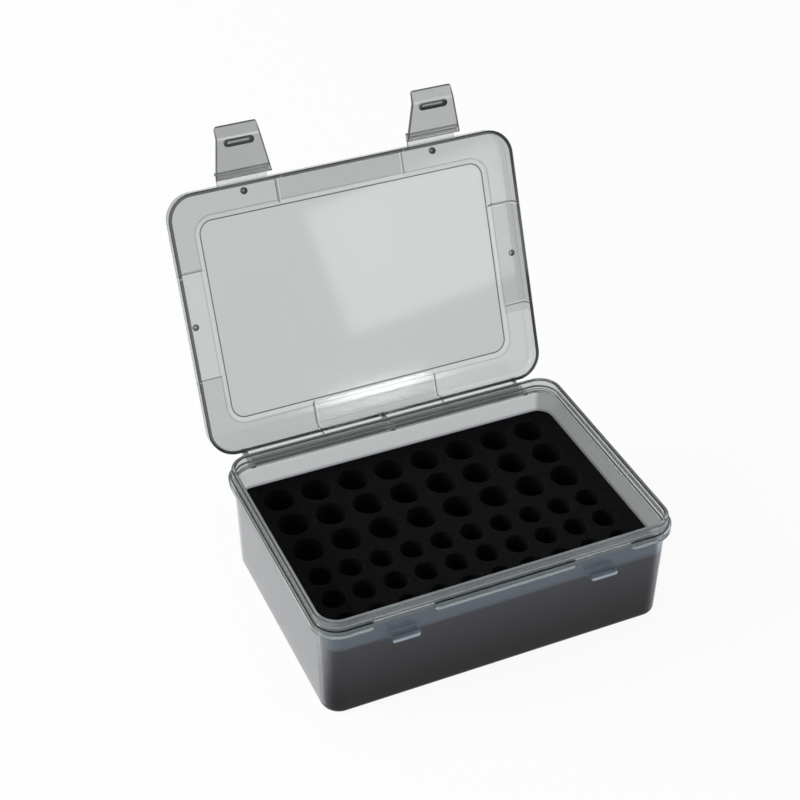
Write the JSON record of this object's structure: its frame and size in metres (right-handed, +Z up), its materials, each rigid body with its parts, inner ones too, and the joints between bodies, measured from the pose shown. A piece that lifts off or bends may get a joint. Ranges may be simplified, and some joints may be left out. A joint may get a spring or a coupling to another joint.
{
  "type": "battery storage case",
  "caption": "Rectangular storage case with a hinged lid, two snap latches and a foam insert with round pockets for upright battery cells.",
  "frame": {"origin": "centre of the tray's flat underside", "axes": "+X along the hinge towards the right latch, +Y from the latches to the hinge, +Z up"},
  "size_m": [0.1768, 0.1987, 0.1938],
  "materials": {
    "smoke_plastic": "smoke-grey translucent polypropylene, smooth",
    "black_foam": "black closed-cell foam, matte, cut faces"
  },
  "bodies": {
    "case": {"tray": "smoke_plastic", "foam_block": "black_foam", "foam_pad": "black_foam"},
    "lid": {"lid": "smoke_plastic"},
    "left_latch": {"latch_left": "smoke_plastic"},
    "right_latch": {"latch_right": "smoke_plastic"}
  },
  "joints": [
    {"name": "lid_hinge", "type": "hinge", "parent": "case", "child": "lid", "pos_m": [0, 0.0675, 0.0479], "axis": [1, 0, 0], "range_deg": [0, 112]},
    {"name": "left_latch_hinge", "type": "hinge", "parent": "lid", "child": "left_latch", "pos_m": [-0.0486, 0.12527, 0.17059], "axis": [1, 0, 0], "range_deg": [-7.5, 91.5]},
    {"name": "right_latch_hinge", "type": "hinge", "parent": "lid", "child": "right_latch", "pos_m": [0.0486, 0.12527, 0.17059], "axis": [1, 0, 0], "range_deg": [-19.8, 79.2]}
  ]
}
